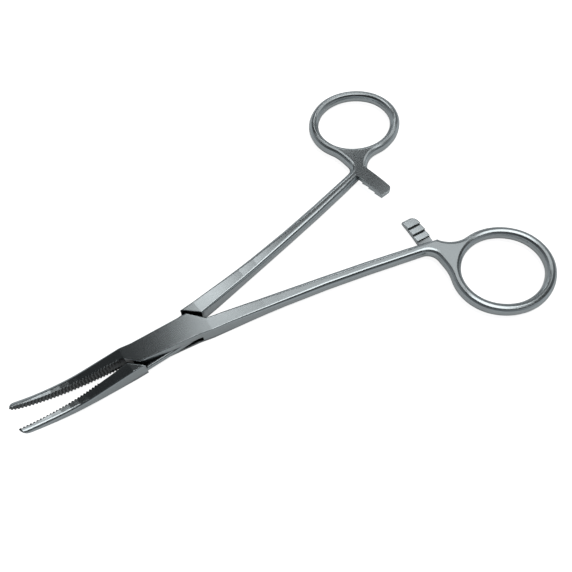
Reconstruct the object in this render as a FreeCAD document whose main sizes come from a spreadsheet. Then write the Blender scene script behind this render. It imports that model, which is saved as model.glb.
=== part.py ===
import FreeCAD, Part
import math
import os

# Hemostat forceps: two box-lock halves on one flush pin, finger rings, step ratchet, curved serrated jaws.
# Each half is drawn closed about the pivot: jaw towards -X at +Y, finger ring towards +X at -Y,
# pivot axis along Z through the middle of the box. The male half is then mirrored across Y.

SIZES = {
    # whole instrument
    "jaw_reach": 38.5,
    "ring_reach": 101.5,
    "rest_opening": 8.6,
    # box lock
    "box_height": 4.8,
    "box_half_width": 3.25,
    "box_flare": 0.35,
    "box_edge_radius": 0.35,
    "lap_distance": 7.75,
    "lap_angle": 45.0,
    "shoulder_gap": 0.15,
    "slot_height": 1.75,
    "slot_drop": 0.6,
    "slot_radius": 9.2,
    "slot_end_gap": 0.2,
    "web_side_gap": 0.06,
    "web_edge_radius": 0.6,
    "male_proud": 0.45,
    "parting_gap": 0.1,
    # pin
    "pin_diameter": 2.8,
    "pin_running_gap": 0.03,
    # jaws
    "jaw_root_width": 3.1,
    "jaw_tip_width": 1.6,
    "jaw_root_height": 3.5,
    "jaw_tip_height": 2.2,
    "jaw_tip_back": 1.4,
    "jaw_runout": 14.0,
    "jaw_straight_reach": 20.5,
    "jaw_curve_radius": 40.0,
    "jaw_nose_length": 1.4,
    "jaw_bite": 0.1,
    "jaw_relief": 0.15,
    # serrations
    "groove_pitch": 0.8,
    "groove_depth": 0.32,
    "groove_land": 0.12,
    "female_plain_length": 1.6,
    "male_plain_length": 8.4,
    # shanks
    "shank_root_width": 4.0,
    "shank_neck_width": 3.5,
    "shank_root_splay": 4.8,
    "shank_neck_splay": 10.5,
    "shank_runout": 20.0,
    "shank_crisp_length": 30.0,
    # finger rings
    "ring_hole_length": 23.4,
    "ring_hole_width": 20.8,
    "ring_end_radius": 9.4,
    "ring_wire_width": 3.0,
    "ring_wire_height": 3.4,
    "ring_edge_depth": 1.4,
    "ring_offset": 26.1,
    # neck between shank and ring
    "neck_setback": 13.0,
    "neck_width": 3.3,
    "neck_overlap": 6.0,
    "neck_inset": 0.02,
    "neck_outer_radius": 3.0,
    "neck_outer_touch": 158.0,
    "neck_inner_touch": 98.0,
    # ratchet
    "ratchet_setback": 0.8,
    "ratchet_width": 4.2,
    "ratchet_past_centre": 0.8,
    "ratchet_plane": -0.2,
    "ratchet_running_gap": 0.12,
    "ratchet_corner_radius": 1.6,
    "tooth_height": 0.55,
    "tooth_pitch": 2.45,
    "tooth_count": 3,
    "tooth_tip_land": 0.4,
}

# handle length, as a share of the radius, of the Bezier curve that draws a quarter of an ellipse
QUARTER_HANDLE = 0.5523

# how finely curved forms are stepped: flats round a ring's edge, spans of the bent jaw, places along its nose
EDGE_FLATS = 7
JAW_SPANS = 8
NOSE_STEPS = (0.4, 0.7, 0.9, 0.98)


def make_sheet(doc):
    """Writes every driving size in the sheet, one alias a cell."""
    sheet = doc.addObject("Spreadsheet::Sheet", "sizes")
    for row, (name, value) in enumerate(SIZES.items(), start=1):
        sheet.set(f"A{row}", name)
        sheet.set(f"B{row}", str(value))
        sheet.setAlias(f"B{row}", name)
    doc.recompute()
    return sheet


def point(x, y, z=0.0):
    return FreeCAD.Vector(x, y, z)


def section(origin, lean, y_low, y_high, height, low, high):
    """A section across the bar at origin, leaning about Y. Its corners at y_low and y_high are quarter
    ellipses, each side with a pair of radii: along Y and upright. A side without a pair stays square."""
    half = height / 2
    up = point(math.sin(lean), 0, math.cos(lean))

    def at(y, z):
        return origin + point(0, y) + up * z

    def corner(y, z, along, upright):
        handle = 1 - QUARTER_HANDLE
        curve = Part.BezierCurve()
        curve.setPoles([at(y + along, z), at(y + along * handle, z), at(y, z + upright * handle), at(y, z + upright)])
        return curve.toShape()

    def side(y, inward, radii):
        """One side from top to bottom, with how far its top and bottom edges stop short of y."""
        if not radii:
            return [Part.makeLine(at(y, half), at(y, -half))], 0.0
        along = radii[0]
        upright = min(radii[1], 0.49 * height)
        return [
            corner(y, half, inward * along, -upright),
            Part.makeLine(at(y, half - upright), at(y, upright - half)),
            corner(y, -half, inward * along, upright),
        ], along

    low_side, low_along = side(y_low, 1, low)
    high_side, high_along = side(y_high, -1, high)
    top = Part.makeLine(at(y_low + low_along, half), at(y_high - high_along, half))
    bottom = Part.makeLine(at(y_high - high_along, -half), at(y_low + low_along, -half))
    return Part.Wire([top] + high_side + [bottom] + low_side[::-1])


def fade(share):
    """Falls smoothly from 1 to 0 as the share of a run-out goes from 0 to 1."""
    left = min(1.0, max(0.0, 1 - share))
    return left * left * (3 - 2 * left)


class Layout:
    """Places that several forms share, worked out from the sheet. The male half stands proud in the box."""

    def __init__(self, sheet, proud):
        self.sheet = sheet
        self.proud = proud
        self.lap = math.radians(sheet.lap_angle)
        self.shank_root = self.lap_x(-sheet.parting_gap)
        self.jaw_root = self.lap_x(-sheet.jaw_bite)
        self.bend = math.asin((sheet.jaw_reach - sheet.jaw_straight_reach) / sheet.jaw_curve_radius)
        self.jaw_length = sheet.jaw_straight_reach - self.jaw_root + sheet.jaw_curve_radius * self.bend
        self.ring_x = sheet.ring_reach - sheet.ring_hole_length / 2 - sheet.ring_wire_width
        self.neck_x = self.ring_x - sheet.neck_setback
        self.neck_start = self.neck_x - sheet.neck_overlap
        self.ratchet_radius = self.neck_x - sheet.ratchet_setback
        self.neck_height = sheet.ring_wire_height - 2 * sheet.neck_inset

    def outline(self):
        """Places where the box's outline changes: x with the lowest and highest y."""
        jaw_half = self.box_half(-self.sheet.lap_distance)
        ring_half = self.box_half(self.sheet.lap_distance)
        shank_inner = -self.sheet.parting_gap
        return [
            (-self.jaw_root, -self.sheet.jaw_bite, self.sheet.jaw_root_width),
            (-self.lap_x(jaw_half), -jaw_half, jaw_half),
            (self.lap_x(ring_half), -ring_half, ring_half),
            (self.shank_root, shank_inner - self.sheet.shank_root_width, shank_inner),
        ]

    def box_half(self, x):
        """Half width of the box, which flares towards the rings."""
        return self.sheet.box_half_width + self.proud + self.sheet.box_flare * x / self.sheet.lap_distance

    def lap_x(self, y):
        """Where the slanted end of a cheek stands at this y."""
        return (self.sheet.lap_distance - y * math.sin(self.lap)) / math.cos(self.lap)

    def jaw_place(self, run):
        """Point and lean of the jaw's middle line at this distance from its root."""
        straight = self.sheet.jaw_straight_reach - self.jaw_root
        if run <= straight:
            return point(-self.jaw_root - run, 0), 0.0
        radius = self.sheet.jaw_curve_radius
        angle = (run - straight) / radius
        return point(-self.sheet.jaw_straight_reach - radius * math.sin(angle), 0,
                     radius * (1 - math.cos(angle))), angle

    def jaw_height(self, run):
        """The jaw thins evenly to its tip, after a smooth run-out from the height of the box."""
        root = self.sheet.jaw_root_height
        even = root + (self.sheet.jaw_tip_height - root) * min(1.0, run / self.jaw_length)
        return even + (self.sheet.box_height - root) * fade(run / self.sheet.jaw_runout)

    def groove_runs(self, plain_length, offset):
        """Distances of the serrations from the jaw's root, from the tip back to the plain stretch."""
        pitch = self.sheet.groove_pitch
        first = self.jaw_length - offset * pitch
        count = int((first - plain_length) / pitch) + 1
        return [first - index * pitch for index in range(count)]

    def shank_middle(self, x):
        """Y of the shank's middle line, which splays out towards the ring."""
        run = x - self.shank_root
        length = self.neck_x - self.shank_root
        start = math.tan(math.radians(self.sheet.shank_root_splay))
        end = math.tan(math.radians(self.sheet.shank_neck_splay))
        middle = self.sheet.parting_gap + self.sheet.shank_root_width / 2
        return -(middle + start * run + (end - start) * run * run / (2 * length))

    def shank_width(self, x):
        share = (x - self.shank_root) / (self.neck_x - self.shank_root)
        return self.sheet.shank_root_width + (self.sheet.shank_neck_width - self.sheet.shank_root_width) * share

    def shank_height(self, x):
        """The shank thins to the height of the ring along a smooth run-out from the box."""
        extra = self.sheet.box_height - self.sheet.ring_wire_height
        return self.sheet.ring_wire_height + extra * fade((x - self.shank_root) / self.sheet.shank_runout)


def make_jaw(sheet, layout):
    """The jaw: straight out of the box, then bent up along an arc. Its back goes from crisp to half round."""
    body_length = layout.jaw_length - sheet.jaw_nose_length
    face = -sheet.jaw_bite

    def jaw_section(run, shrink=1.0):
        place, lean = layout.jaw_place(run)
        share = min(1.0, run / body_length)
        width = sheet.jaw_root_width + (sheet.jaw_tip_width - sheet.jaw_root_width) * share
        back = sheet.box_edge_radius + (sheet.jaw_tip_back - sheet.box_edge_radius) * share
        return section(place, -lean, face, face + (width - face) * shrink, layout.jaw_height(run) * shrink,
                       None, (back * shrink, back * shrink))

    bend_start = sheet.jaw_straight_reach - layout.jaw_root
    bend_run = body_length - bend_start
    runs = [0.0] + [bend_start + bend_run * step / JAW_SPANS for step in range(JAW_SPANS + 1)]
    sections = [jaw_section(run) for run in runs]
    for step in NOSE_STEPS:
        sections.append(jaw_section(body_length + sheet.jaw_nose_length * step, math.sqrt(1 - step * step)))
    return [Part.makeLoft(sections, True, True)]


def outline_bar(layout, level, height, inset, radii):
    """A bar that follows the box's outline, with a pair of edge radii at each place where it changes."""
    sections = []
    for (x, low, high), (low_radius, high_radius) in zip(layout.outline(), radii):
        sections.append(section(point(x, 0, level), 0.0, low + inset, high - inset, height,
                                (low_radius, low_radius), (high_radius, high_radius)))
    return Part.makeLoft(sections, True, True)


def make_box(sheet, layout):
    """The solid box with the slanted ends of its cheeks, from the jaw's root to the shank's."""
    crisp = sheet.box_edge_radius
    radii = [(sheet.jaw_bite / 2, crisp), (crisp, crisp), (crisp, crisp), (crisp, crisp)]
    return outline_bar(layout, 0.0, sheet.box_height, 0.0, radii)


def make_web(sheet, layout):
    """The web that passes through the slot, with rounded sides just inside the outline of the male half."""
    height = sheet.slot_height - 2 * sheet.web_side_gap
    radii = [(sheet.web_edge_radius, sheet.web_edge_radius)] * 4
    return outline_bar(layout, -sheet.slot_drop, height, sheet.neck_inset, radii)


def make_shank(sheet, layout):
    """The shank thins and splays from the box, goes from crisp to rounded, and runs out inside the neck."""
    def shank_section(x, sink):
        half = layout.shank_width(x) / 2 - sink
        middle = layout.shank_middle(x)
        height = layout.shank_height(x) - 2 * sink
        share = min(1.0, (x - layout.shank_root) / sheet.shank_crisp_length)
        crisp = sheet.box_edge_radius
        edge = (crisp + (sheet.ring_edge_depth - crisp) * share, crisp + (height / 2 - crisp) * share)
        return section(point(x, 0), 0.0, middle - half, middle + half, height, edge, edge)

    runout_end = layout.shank_root + sheet.shank_runout
    places = [layout.shank_root + sheet.shank_runout * step / 4 for step in (0, 1, 2, 3)]
    places += [runout_end + (layout.neck_start - runout_end) * step / 3 for step in (0, 1, 2, 3)]
    sections = [shank_section(x, 0.0) for x in places]
    sections.append(shank_section(layout.neck_x, 3 * sheet.neck_inset))
    return Part.makeLoft(sections, True, True)


class Oval:
    """An oval of four tangent arcs: the ring's hole or, grown by the width of the wire, its rim."""

    def __init__(self, sheet, layout, growth):
        half_length = sheet.ring_hole_length / 2
        half_width = sheet.ring_hole_width / 2
        end = sheet.ring_end_radius
        shift = half_length - end
        side = (shift ** 2 + half_width ** 2 - end ** 2) / (2 * (half_width - end))
        rise = side - half_width
        centre = point(layout.ring_x, -sheet.ring_offset)
        self.split = math.degrees(math.atan2(rise, shift))
        self.ends = [(centre + point(shift, 0), end + growth), (centre - point(shift, 0), end + growth)]
        self.sides = [(centre - point(0, rise), side + growth), (centre + point(0, rise), side + growth)]

    def arc_about(self, degrees):
        """Centre and radius of the arc whose outward normal points this way, and that normal."""
        normal = point(math.cos(math.radians(degrees)), math.sin(math.radians(degrees)))
        if abs(normal.y) > math.sin(math.radians(self.split)):
            centre, radius = self.sides[0 if normal.y > 0 else 1]
        else:
            centre, radius = self.ends[0 if normal.x > 0 else 1]
        return centre, radius, normal

    def touch(self, degrees):
        """The point of the oval whose outward normal points this way, and that normal."""
        centre, radius, normal = self.arc_about(degrees)
        return centre + normal * radius, normal

    def pieces(self, start, end):
        """The oval's arcs from one normal's direction anticlockwise to another: start, end and centre of each."""
        turns = [half_turn + side * self.split for half_turn in (0, 180, 360, 540) for side in (-1, 1)]
        stops = [start] + [turn for turn in turns if start < turn < end] + [end]
        found = []
        for first, last in zip(stops, stops[1:]):
            centre = self.arc_about((first + last) / 2)[0]
            found.append((self.touch(first)[0], self.touch(last)[0], centre))
        return found


def ring_outline(sheet, layout):
    """Plan outline of ring and neck: tangent pieces, each its start, its end and, for an arc, its centre."""
    rim = Oval(sheet, layout, sheet.ring_wire_width)

    def shank_edge(x, side):
        offset = layout.shank_width(x) / 2 - sheet.neck_inset
        return point(x, layout.shank_middle(x) + side * offset)

    outer_start = shank_edge(layout.neck_start, -1)
    along = (shank_edge(layout.neck_x, -1) - outer_start).normalize()
    inner_start = shank_edge(layout.neck_start, 1)
    inner_end = shank_edge(layout.neck_x + sheet.neck_width, 1)

    # the hollow between the shank's outer edge and the upright outer side of the neck
    hollow = sheet.neck_outer_radius
    outward = point(along.y, -along.x)
    reach = (layout.neck_x - hollow - outer_start.x - hollow * outward.x) / along.x
    hollow_start = outer_start + along * reach
    hollow_centre = hollow_start + outward * hollow
    hollow_end = hollow_centre + point(hollow, 0)

    # the long blend from the neck's outer side into the ring
    touch, normal = rim.touch(sheet.neck_outer_touch)
    blend = (layout.neck_x - touch.x) / (1 + normal.x)
    blend_centre = touch + normal * blend
    blend_start = blend_centre + point(blend, 0)

    # the hollow between the ratchet and the ring
    inner_touch, inner_normal = rim.touch(sheet.neck_inner_touch)
    chord = inner_end - inner_touch
    inner_centre = inner_touch + inner_normal * (chord.Length ** 2 / (2 * inner_normal.dot(chord)))

    return [
        (outer_start, hollow_start, None),
        (hollow_start, hollow_end, hollow_centre),
        (hollow_end, blend_start, None),
        (blend_start, touch, blend_centre),
    ] + rim.pieces(sheet.neck_outer_touch, sheet.neck_inner_touch + 360) + [
        (inner_touch, inner_end, inner_centre),
        (inner_end, inner_start, None),
    ]


def arc_between(start, end, centre):
    """The arc about centre from start to end, by the short way."""
    middle = centre + (start + end - centre * 2).normalize() * (start - centre).Length
    return Part.Arc(start, middle, end).toShape()


def plan_wire(pieces):
    """The closed wire of an outline's pieces. A straight piece starts where the one before it ends."""
    edges = []
    here = pieces[0][0]
    for start, end, centre in pieces:
        edges.append(arc_between(start, end, centre) if centre else Part.makeLine(here, end))
        here = end
    first = pieces[0][0]
    if (first - here).Length > 1e-6:
        edges.append(Part.makeLine(here, first))
    return Part.Wire(edges)


def set_in(pieces, depth, outward_side):
    """The outline's pieces moved inwards by depth; the outside lies to the right (1) or left (-1) of the way."""
    moved = []
    for start, end, centre in pieces:
        if centre is None:
            way = (end - start).normalize()
            inward = point(-way.y, way.x) * (outward_side * depth)
            moved.append((start + inward, end + inward, None))
            continue
        turn = (start - centre).cross(end - centre).z
        grow = -depth if turn * outward_side > 0 else depth
        scale = 1 + grow / (start - centre).Length
        moved.append((centre + (start - centre) * scale, centre + (end - centre) * scale, centre))
    return moved


def half_round(inner, outer, half_height):
    """Upright face of half an ellipse in narrow flats: its straight side at inner, its tip at outer."""
    corners = []
    for step in range(EDGE_FLATS + 1):
        turn = math.pi * (step / EDGE_FLATS - 0.5)
        corners.append(inner + (outer - inner) * math.cos(turn) + point(0, 0, half_height * math.sin(turn)))
    return Part.Face(Part.makePolygon(corners + corners[:1]))


def rounded_edges(pieces, inset_pieces, half_height):
    """A half-round bar along each piece of an outline, on the plate inside it."""
    bars = []
    for (start, end, centre), (inner, _, _) in zip(pieces, inset_pieces):
        face = half_round(inner, start, half_height)
        if centre is None:
            bars.append(face.extrude(end - start))
            continue
        turn = math.degrees((start - centre).getAngle(end - centre))
        spin = 1 if (start - centre).cross(end - centre).z > 0 else -1
        bars.append(face.revolve(centre, point(0, 0, spin), turn))
    return bars


def make_ring(sheet, layout):
    """The finger ring and its neck: a thin flat plate with half-round edges all the way along."""
    half = layout.neck_height / 2
    hole = Oval(sheet, layout, 0.0)
    hole_pieces = hole.pieces(-hole.split, 360 - hole.split)
    rim_pieces = ring_outline(sheet, layout)
    hole_set_in = set_in(hole_pieces, sheet.ring_edge_depth, -1)
    rim_set_in = set_in(rim_pieces, sheet.ring_edge_depth, 1)
    plate = Part.Face(plan_wire(rim_set_in)).cut(Part.Face(plan_wire(hole_set_in)))
    plate.translate(point(0, 0, -half))
    bars = rounded_edges(rim_pieces, rim_set_in, half) + rounded_edges(hole_pieces, hole_set_in, half)
    return plate.extrude(point(0, 0, 2 * half)).multiFuse(bars)


def make_ratchet(sheet, layout, facing):
    """The ratchet arm: an arc about the pivot, with saw teeth on top (facing 1) or underneath (facing -1)."""
    inner = layout.ratchet_radius
    outer = inner + sheet.ratchet_width
    end_y = sheet.ratchet_past_centre
    root_y = layout.shank_middle(inner + sheet.ratchet_width / 2)
    corner = sheet.ratchet_corner_radius

    def on_arc(radius, y):
        return point(math.sqrt(radius * radius - y * y), y)

    inner_root = on_arc(inner, root_y)
    inner_end = on_arc(inner, end_y)
    turn_start = point(on_arc(outer, end_y).x - corner, end_y)
    turn_end = on_arc(outer, end_y - corner)
    sag = corner * (1 - math.sqrt(0.5))
    turn_middle = point(turn_end.x - sag, end_y - sag)
    outer_root = on_arc(outer, root_y)
    edges = [
        Part.Arc(inner_root, on_arc(inner, root_y / 2), inner_end).toShape(),
        Part.makeLine(inner_end, turn_start),
        Part.Arc(turn_start, turn_middle, turn_end).toShape(),
        Part.Arc(turn_end, on_arc(outer, (end_y - corner + root_y) / 2), outer_root).toShape(),
        Part.makeLine(outer_root, inner_root),
    ]
    half = layout.neck_height / 2
    plan = Part.Face(Part.Wire(edges)).extrude(point(0, 0, layout.neck_height))
    plan.translate(point(0, 0, -half))

    # the profile of the teeth, drawn across the arm and well past its ends
    past = 5.0
    crest = facing * sheet.ratchet_plane - sheet.ratchet_running_gap / 2
    valley = crest - sheet.tooth_height
    back = -half - past
    profile = [(root_y - past, back), (end_y + past, back), (end_y + past, valley)]
    first = end_y - sheet.tooth_tip_land - sheet.tooth_pitch * sheet.tooth_count
    for tooth in reversed(range(int(sheet.tooth_count))):
        riser = first + sheet.tooth_pitch * tooth
        profile += [(riser + sheet.tooth_pitch, valley), (riser, crest), (riser, valley)]
    profile.append((root_y - past, valley))
    corners = [point(inner - past, y, facing * z) for y, z in profile]
    teeth = Part.Face(Part.makePolygon(corners + corners[:1])).extrude(point(sheet.ratchet_width + 2 * past, 0, 0))
    return plan.common(teeth)


def make_grooves(sheet, layout, runs):
    """Cutters for the serrations: one V across the mating face for each groove, square to the jaw's line."""
    mouth = (sheet.groove_pitch - sheet.groove_land) / 2
    length = sheet.box_height + 2.0
    below = 0.3
    wide = mouth + mouth / sheet.groove_depth * below
    cutters = []
    for run in runs:
        place, lean = layout.jaw_place(run)
        along = point(-math.cos(lean), 0, math.sin(lean))
        up = point(math.sin(lean), 0, math.cos(lean))
        face = place + point(0, -sheet.jaw_bite, 0) - up * (length / 2)
        corners = [
            face - along * wide - point(0, below, 0),
            face + along * wide - point(0, below, 0),
            face + point(0, sheet.groove_depth, 0),
        ]
        cutters.append(Part.Face(Part.makePolygon(corners + corners[:1])).extrude(up * length))
    return Part.Compound(cutters)


def make_relief(sheet, layout, last_run):
    """Cutter that sets the mating face back between the crest after the last serration and the box."""
    length = last_run - (sheet.groove_pitch + sheet.groove_land) / 2
    below = 1.0
    block = Part.makeBox(length, below + sheet.jaw_relief, sheet.box_height * 2)
    block.translate(point(-layout.jaw_root - length, -below, -sheet.box_height))
    return block


def add_shape(doc, name, shape):
    feature = doc.addObject("Part::Feature", name)
    feature.Shape = shape
    return feature


def add_cylinder(doc, name, radius, height, level="0"):
    """An upright cylinder about the pivot, its middle at this level, bound to the sheet."""
    cylinder = doc.addObject("Part::Cylinder", name)
    cylinder.setExpression("Radius", radius)
    cylinder.setExpression("Height", height)
    cylinder.setExpression(".Placement.Base.z", f"{level} - ({height}) / 2")
    return cylinder


def add_box(doc, name, size, corner, turn="0"):
    """A block bound to the sheet: its sizes, its corner, and its turn about the pivot axis."""
    block = doc.addObject("Part::Box", name)
    for side, expression in zip(("Length", "Width", "Height"), size):
        block.setExpression(side, expression)
    x, y, z = corner
    block.setExpression("Placement", f"placement(vector(0; 0; 0); vector(0; 0; 1); {turn}) * "
                                     f"placement(vector({x}; {y}; {z}); vector(0; 0; 1); 0)")
    return block


def add_fuse(doc, name, shapes):
    fuse = doc.addObject("Part::MultiFuse", name)
    fuse.Shapes = shapes
    return fuse


def add_cut(doc, name, base, tool):
    cut = doc.addObject("Part::Cut", name)
    cut.Base = base
    cut.Tool = tool
    return cut


def build_forging(sheet, layout, facing):
    """One half before machining: solid box, jaw, shank, ring and ratchet in one piece."""
    pieces = make_jaw(sheet, layout)
    pieces += [make_shank(sheet, layout), make_ring(sheet, layout), make_ratchet(sheet, layout, facing)]
    return make_box(sheet, layout).multiFuse(pieces)


def stand(piece, turn):
    """Stands a finished piece on the underside of the box and turns it to the open rest pose."""
    piece.setExpression("Placement", "placement(vector(0; 0; sizes.box_height / 2); vector(0; 0; 1); "
                                     f"{turn} * sizes.rest_opening / 2)")


def build_female_half(doc, sheet):
    """The half with the box: two cheeks round a slot, its ring at -Y, ratchet teeth on top."""
    layout = Layout(sheet, 0.0)
    forging = add_shape(doc, "female_forging", build_forging(sheet, layout, 1))
    reach = "sizes.lap_distance * 2"
    side = "sizes.box_half_width * 2"
    floor = "-sizes.slot_drop - sizes.slot_height / 2"
    slot_disc = add_cylinder(doc, "slot_disc", "sizes.slot_radius", "sizes.slot_height", "-sizes.slot_drop")
    slot_ring_side = add_box(doc, "slot_ring_side", (reach, side, "sizes.slot_height"),
                             ("0", "-sizes.parting_gap", floor))
    slot_jaw_side = add_box(doc, "slot_jaw_side", (reach, side, "sizes.slot_height"),
                            (f"-({reach})", f"sizes.jaw_relief - {side}", floor))
    bore = add_cylinder(doc, "cheek_bore", "sizes.pin_diameter / 2", "sizes.box_height * 2")
    slot = add_fuse(doc, "female_machining", [slot_disc, slot_ring_side, slot_jaw_side, bore])
    machined = add_cut(doc, "female_machined", forging, slot)
    runs = layout.groove_runs(sheet.female_plain_length, 0.0)
    grooves = add_shape(doc, "female_grooves", make_grooves(sheet, layout, runs))
    relief = add_shape(doc, "female_relief", make_relief(sheet, layout, runs[-1]))
    half = add_cut(doc, "female_half", add_cut(doc, "female_relieved", machined, relief), grooves)
    stand(half, "-1")
    return half


def build_male_half(doc, sheet):
    """The half that passes through the box: a thin web between shoulders, its ring at +Y, teeth underneath."""
    layout = Layout(sheet, sheet.male_proud)

    def mirrored(shape):
        return shape.mirror(point(0, 0), point(0, 1))

    forging = add_shape(doc, "male_forging", mirrored(build_forging(sheet, layout, -1)))
    web = add_shape(doc, "male_web", mirrored(make_web(sheet, layout)))
    reach = "(sizes.lap_distance + sizes.shoulder_gap)"
    between = add_box(doc, "between_shoulders", (f"2 * {reach}", f"8 * {reach}", "sizes.box_height * 2"),
                      (f"-{reach}", f"-4 * {reach}", "-sizes.box_height"), "sizes.lap_angle")
    shouldered = add_fuse(doc, "male_shouldered", [add_cut(doc, "male_shoulders", forging, between), web])
    side = "sizes.box_half_width * 2"
    end_size = ("sizes.lap_distance * 2", side, "sizes.box_height * 2")
    ring_side = add_box(doc, "web_ring_side", end_size, ("0", f"sizes.parting_gap - {side}", "-sizes.box_height"))
    jaw_side = add_box(doc, "web_jaw_side", end_size,
                       ("-sizes.lap_distance * 2", "-sizes.jaw_relief", "-sizes.box_height"))
    web_disc = add_cylinder(doc, "web_disc", "sizes.slot_radius - sizes.slot_end_gap", "sizes.box_height * 3")
    web_ends = add_cut(doc, "web_ends", add_fuse(doc, "web_end_blocks", [ring_side, jaw_side]), web_disc)
    bore = add_cylinder(doc, "web_bore", "sizes.pin_diameter / 2 + sizes.pin_running_gap", "sizes.box_height * 2")
    machined = add_cut(doc, "male_machined", shouldered, add_fuse(doc, "male_machining", [web_ends, bore]))
    runs = layout.groove_runs(sheet.male_plain_length, 0.5)
    grooves = add_shape(doc, "male_grooves", mirrored(make_grooves(sheet, layout, runs)))
    relief = add_shape(doc, "male_relief", mirrored(make_relief(sheet, layout, runs[-1])))
    half = add_cut(doc, "male_half", add_cut(doc, "male_relieved", machined, relief), grooves)
    stand(half, "1")
    return half


def build_pin(doc):
    """The rivet through cheeks and web, ground flush with both faces of the box."""
    pin = doc.addObject("Part::Cylinder", "pivot_pin")
    pin.setExpression("Radius", "sizes.pin_diameter / 2")
    pin.setExpression("Height", "sizes.box_height")
    return pin


def check(doc, pieces):
    """Stops before anything is written if an object failed or a piece isn't one sound solid."""
    for item in doc.Objects:
        if "Invalid" in item.State or "Error" in item.State:
            raise RuntimeError(f"{item.Name} failed: {item.State}")
    for piece in pieces:
        if piece.Shape.isNull() or not piece.Shape.isValid() or len(piece.Shape.Solids) != 1:
            raise RuntimeError(f"{piece.Label} isn't one valid solid")


def main():
    doc = FreeCAD.newDocument("hemostat")
    sheet = make_sheet(doc)
    pieces = [build_female_half(doc, sheet), build_male_half(doc, sheet), build_pin(doc)]
    doc.recompute()
    check(doc, pieces)
    os.makedirs("parts", exist_ok=True)
    for piece in pieces:
        piece.Shape.exportStep(f"parts/{piece.Label}.step")


main()
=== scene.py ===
import math

import bpy
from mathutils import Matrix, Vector

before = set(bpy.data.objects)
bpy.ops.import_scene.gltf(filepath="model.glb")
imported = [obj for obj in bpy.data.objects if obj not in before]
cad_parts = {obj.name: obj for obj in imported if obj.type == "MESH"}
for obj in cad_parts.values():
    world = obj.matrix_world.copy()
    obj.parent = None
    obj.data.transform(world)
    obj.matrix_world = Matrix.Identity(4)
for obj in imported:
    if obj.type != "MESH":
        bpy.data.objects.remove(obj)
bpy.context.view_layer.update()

MM = 0.001
WHITE = (1, 1, 1, 1)

# the photograph's view: direction and distance from the point that the camera looks at
VIEW_AZIMUTH = -34.55
VIEW_ELEVATION = 59.37
VIEW_DISTANCE = 164.84 * MM
VIEW_TARGET = Vector((33.77, -3.74, 2.49)) * MM
LENS_MM = 39.31
SENSOR_MM = 36.0
NEAREST_SEEN = 0.01

# the studio: a plain table under a dim dome, whose light falls off from the horizon upwards
TABLE_HALF = 1.6
PAPER_COLOUR = (0.9, 0.9, 0.9, 1)
DOME_COLOUR = (0.93, 0.97, 1.0, 1)
DOME_STOPS = [(0.0, 0.75), (0.45, 0.26), (0.72, 0.035)]

# how much the table is lit up beyond its own light, to the eye and in the steel
FLOOR_LIFT = 0.88
FLOOR_LIFT_IN_STEEL = 0.12

# the soft lamps, facing down: name, two corners in millimetres and how bright the face is
LAMP_HEIGHT = 400 * MM
LAMPS = [
    ("main_softbox", (48, 60), (560, 208), 0.82),
    ("far_softbox", (80, 208), (175, 330), 1.6),
    ("back_softbox", (250, 340), (450, 500), 1.9),
    ("overhead_strip", (20, -150), (330, 40), 2.2),
]

# the steel: its colour, where it is a little darker, and how rough it is between and on the grinding lines
STEEL_COLOUR = (0.485, 0.53, 0.545)
DARKER_SHARE = 0.9
LEAST_ROUGHNESS = 0.16
MOST_ROUGHNESS = 0.23

# the grinding lines, drawn out along the length, their depth, and the slow changes in tone
LINE_SCALE = (500, 7000, 7000)
LINE_STRENGTH = 0.04
LINE_DEPTH = 0.01 * MM
CLOUD_SCALE = 70.0

# how far the steel's edges are eased, and how near the pivot axis they stay sharp
EDGE_EASE = 0.3 * MM
PIN_SEAM_REACH = 2.0 * MM

# painted shade on the serrated faces at rest: half the opening in degrees, their depth, where they start and the
# share of their colour painted dark
REST_HALF_OPENING = 4.3
SERRATION_DEPTH = 0.26 * MM
JAW_ROOT = 11.0 * MM
SERRATION_PAINTED_SHADE = 0.72

# painted shade: how near another face darkens the steel's colour, and the share of its colour it keeps by how open
# it lies
NEARBY = 2.2 * MM
SHADE_STOPS = [(0.5, 0.1), (0.85, 1.0)]


def feed(tree, value, socket):
    """Links another node's socket to this one, or sets this one to a plain value."""
    if isinstance(value, bpy.types.NodeSocket):
        tree.links.new(value, socket)
    else:
        socket.default_value = value


def node(tree, kind, **values):
    """Adds a shader node, and gives the properties and sockets that are named their values."""
    made = tree.nodes.new(kind)
    for name, value in values.items():
        if name in made.bl_rna.properties:
            setattr(made, name, value)
        else:
            feed(tree, value, made.inputs[name.replace("_", " ")])
    return made


def calculate(tree, operation, *values):
    """A math node over sockets or plain numbers."""
    made = node(tree, "ShaderNodeMath", operation=operation)
    for value, socket in zip(values, made.inputs):
        feed(tree, value, socket)
    return made.outputs[0]


def mix(tree, kind, factor, first, second):
    """A mix of two colours (RGBA) or two directions (VECTOR)."""
    return node(tree, "ShaderNodeMix", data_type=kind, Factor=factor, A=first, B=second).outputs["Result"]


def multiply(tree, first, second):
    """Two colours or greys multiplied."""
    made = node(tree, "ShaderNodeMix", data_type="RGBA", blend_type="MULTIPLY", Factor=1.0, A=first)
    feed(tree, second, made.inputs["B"])
    return made.outputs["Result"]


def ramp(tree, factor, stops):
    """A grey ramp over a factor: stops are (place, grey) pairs."""
    made = node(tree, "ShaderNodeValToRGB", Fac=factor)
    elements = made.color_ramp.elements
    for index, (place, grey) in enumerate(stops):
        element = elements[index] if index < 2 else elements.new(place)
        element.position = place
        element.color = (grey, grey, grey, 1)
    return made.outputs["Color"]


def new_tree(name):
    material = bpy.data.materials.new(name)
    material.use_nodes = True
    tree = material.node_tree
    tree.nodes.clear()
    return material, tree


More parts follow.
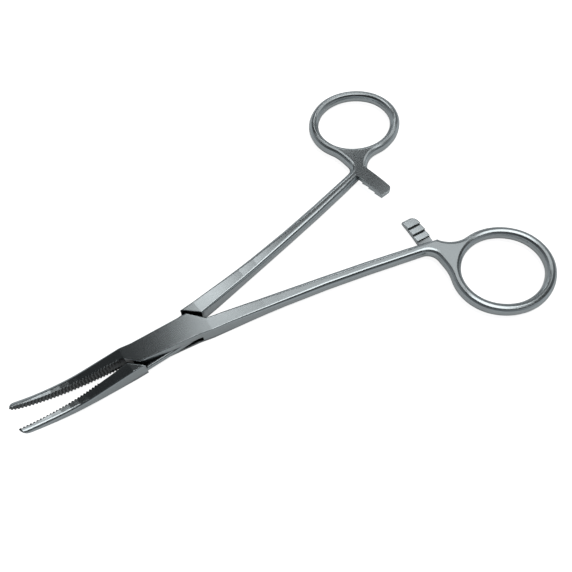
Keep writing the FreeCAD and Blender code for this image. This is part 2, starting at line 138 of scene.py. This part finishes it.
def painted_serration_shade(tree, place):
    """The share of its colour that the steel keeps: less on the serrated faces of the jaws, which are painted
    darker as shade.
    """
    split = node(tree, "ShaderNodeSeparateXYZ", Vector=place)
    x, y = split.outputs["X"], split.outputs["Y"]
    slope = math.tan(math.radians(REST_HALF_OPENING))
    opening = calculate(tree, "MULTIPLY", calculate(tree, "ABSOLUTE", x), slope)
    depth = calculate(tree, "SUBTRACT", calculate(tree, "ABSOLUTE", y), opening)
    near = calculate(tree, "LESS_THAN", depth, SERRATION_DEPTH)
    on_jaw = calculate(tree, "LESS_THAN", x, -JAW_ROOT)
    serrated = calculate(tree, "MULTIPLY", near, on_jaw)
    return calculate(tree, "SUBTRACT", 1.0, calculate(tree, "MULTIPLY", serrated, SERRATION_PAINTED_SHADE))


def eased_normal(tree, place):
    """Eased edges, apart from the seam of the flush pin."""
    eased = node(tree, "ShaderNodeBevel", samples=8, Radius=EDGE_EASE).outputs["Normal"]
    sharp = node(tree, "ShaderNodeNewGeometry").outputs["Normal"]
    flat = node(tree, "ShaderNodeMapping", Vector=place, Scale=(1, 1, 0)).outputs["Vector"]
    from_axis = node(tree, "ShaderNodeVectorMath", operation="LENGTH", Vector=flat).outputs["Value"]
    at_pin = calculate(tree, "LESS_THAN", from_axis, PIN_SEAM_REACH)
    return mix(tree, "VECTOR", at_pin, eased, sharp)


def satin_steel():
    """Ground and satin-finished stainless steel: faint lines along the instrument, soft mottling, eased edges.
    Painted shade: grooves, faces close to another face and faces near the table are darkened in the colour, the
    serrated faces most."""
    material, tree = new_tree("satin_steel")
    place = node(tree, "ShaderNodeTexCoord").outputs["Object"]

    # fine grinding lines
    drawn_out = node(tree, "ShaderNodeMapping", Vector=place, Scale=LINE_SCALE).outputs["Vector"]
    lines = node(tree, "ShaderNodeTexNoise", Vector=drawn_out, Scale=1.0, Detail=3.0, Roughness=0.6).outputs["Fac"]
    roughness = node(tree, "ShaderNodeMapRange", Value=lines, To_Min=LEAST_ROUGHNESS, To_Max=MOST_ROUGHNESS)
    bump = node(tree, "ShaderNodeBump", Height=lines, Strength=LINE_STRENGTH, Distance=LINE_DEPTH,
                Normal=eased_normal(tree, place))

    # slow changes in tone from one hand-finished stretch to the next
    clouds = node(tree, "ShaderNodeTexNoise", Vector=place, Scale=CLOUD_SCALE, Detail=2.0, Roughness=0.5)
    darker = tuple(channel * DARKER_SHARE for channel in STEEL_COLOUR)
    tone = mix(tree, "RGBA", clouds.outputs["Fac"], darker + (1,), STEEL_COLOUR + (1,))

    # painted shade: the colour darkened in grooves, between parts and near the table, by how open each point lies
    painted_shade_openness = node(tree, "ShaderNodeAmbientOcclusion", samples=16, Distance=NEARBY).outputs["AO"]
    tone_with_painted_shade = multiply(tree, tone, ramp(tree, painted_shade_openness, SHADE_STOPS))
    # painted shade on the serrated faces, darkened by where they lie on the jaws
    colour = multiply(tree, tone_with_painted_shade, painted_serration_shade(tree, place))

    surface = node(tree, "ShaderNodeBsdfPrincipled", Metallic=1.0, Base_Color=colour,
                   Roughness=roughness.outputs["Result"], Normal=bump.outputs["Normal"])
    node(tree, "ShaderNodeOutputMaterial", Surface=surface.outputs["BSDF"])
    return material


def table_material():
    """White paper that takes the instrument's shadow. It is lit up to white for the eye, and less in the steel."""
    material, tree = new_tree("table_white")
    rays = node(tree, "ShaderNodeLightPath").outputs
    mirrored = calculate(tree, "MAXIMUM", rays["Is Glossy Ray"], rays["Is Transmission Ray"])
    in_steel = calculate(tree, "MULTIPLY", mirrored, FLOOR_LIFT_IN_STEEL)
    lift = calculate(tree, "MULTIPLY_ADD", rays["Is Camera Ray"], FLOOR_LIFT, in_steel)
    paper = node(tree, "ShaderNodeBsdfDiffuse", Color=PAPER_COLOUR)
    glow = node(tree, "ShaderNodeEmission", Color=WHITE, Strength=lift)
    both = node(tree, "ShaderNodeAddShader")
    tree.links.new(paper.outputs[0], both.inputs[0])
    tree.links.new(glow.outputs[0], both.inputs[1])
    node(tree, "ShaderNodeOutputMaterial", Surface=both.outputs[0])
    return material


def build_table():
    mesh = bpy.data.meshes.new("table")
    half = TABLE_HALF
    corners = [(-half, -half, 0), (half, -half, 0), (half, half, 0), (-half, half, 0)]
    mesh.from_pydata(corners, [], [(0, 1, 2, 3)])
    table = bpy.data.objects.new("table", mesh)
    bpy.context.scene.collection.objects.link(table)
    table.data.materials.append(table_material())


def build_dome():
    """A dim studio room, paler towards the horizon. To the eye it is white."""
    world = bpy.data.worlds.new("studio")
    world.use_nodes = True
    tree = world.node_tree
    tree.nodes.clear()
    direction = node(tree, "ShaderNodeTexCoord").outputs["Generated"]
    upward = node(tree, "ShaderNodeSeparateXYZ", Vector=direction).outputs["Z"]
    room = multiply(tree, ramp(tree, upward, DOME_STOPS), DOME_COLOUR)
    to_eye = node(tree, "ShaderNodeLightPath").outputs["Is Camera Ray"]
    glow = node(tree, "ShaderNodeBackground", Color=mix(tree, "RGBA", to_eye, room, WHITE), Strength=1.0)
    node(tree, "ShaderNodeOutputWorld", Surface=glow.outputs[0])
    bpy.context.scene.world = world


def soft_lamp(name, low, high, radiance):
    """A rectangular softbox facing down, given by its corners in millimetres and how bright its face is."""
    wide = (high[0] - low[0]) * MM
    deep = (high[1] - low[1]) * MM
    lamp = bpy.data.lights.new(name, "AREA")
    lamp.shape = "RECTANGLE"
    lamp.size = wide
    lamp.size_y = deep
    lamp.energy = radiance * math.pi * wide * deep
    thing = bpy.data.objects.new(name, lamp)
    thing.location = ((low[0] + high[0]) / 2 * MM, (low[1] + high[1]) / 2 * MM, LAMP_HEIGHT)
    bpy.context.scene.collection.objects.link(thing)


def build_camera():
    azimuth = math.radians(VIEW_AZIMUTH)
    elevation = math.radians(VIEW_ELEVATION)
    level = math.cos(elevation)
    back = Vector((math.sin(azimuth) * level, -math.cos(azimuth) * level, math.sin(elevation)))
    data = bpy.data.cameras.new("camera")
    data.sensor_fit = "HORIZONTAL"
    data.sensor_width = SENSOR_MM
    data.lens = LENS_MM
    data.clip_start = NEAREST_SEEN
    camera = bpy.data.objects.new("camera", data)
    camera.location = VIEW_TARGET + back * VIEW_DISTANCE
    camera.rotation_euler = back.to_track_quat("Z", "Y").to_euler()
    bpy.context.scene.collection.objects.link(camera)
    bpy.context.scene.camera = camera


def dress_nodes():
    steel = satin_steel()
    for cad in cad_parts.values():
        cad.data.materials[0] = steel


bpy.context.scene.view_settings.view_transform = "Standard"
build_camera()
build_table()
build_dome()
for values in LAMPS:
    soft_lamp(*values)
dress_nodes()
